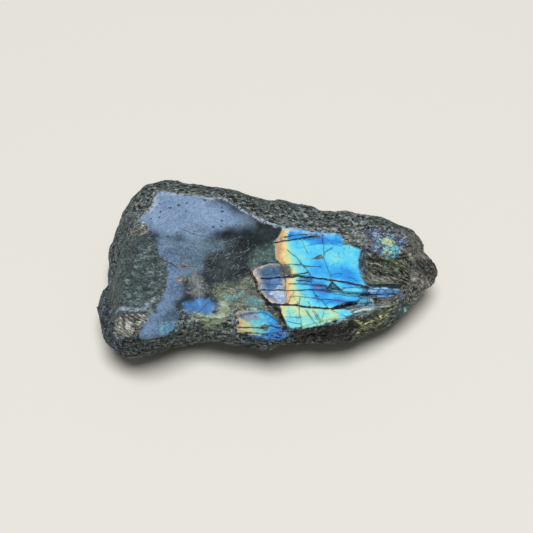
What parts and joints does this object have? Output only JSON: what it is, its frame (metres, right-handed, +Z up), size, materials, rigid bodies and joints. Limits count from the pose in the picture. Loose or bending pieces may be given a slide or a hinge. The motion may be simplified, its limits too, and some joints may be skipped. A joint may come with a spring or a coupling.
{
  "type": "labradorite chunk",
  "caption": "Rough labradorite chunk with a flat polished face flashing blue, raw dark sides and a flat underside to rest on.",
  "frame": {"origin": "on the resting plane, under the middle of the stone's bounding box", "axes": "+X along the stone's length towards the raw nose, +Y across it towards the back, +Z up out of the polished face"},
  "size_m": [0.1181, 0.0697, 0.0365],
  "materials": {
    "labradorite": "dark grey-green stone, rough on the raw sides, polished on the top face with a blue flash"
  },
  "bodies": {
    "root": {"labradorite_chunk": "labradorite"}
  },
  "joints": []
}
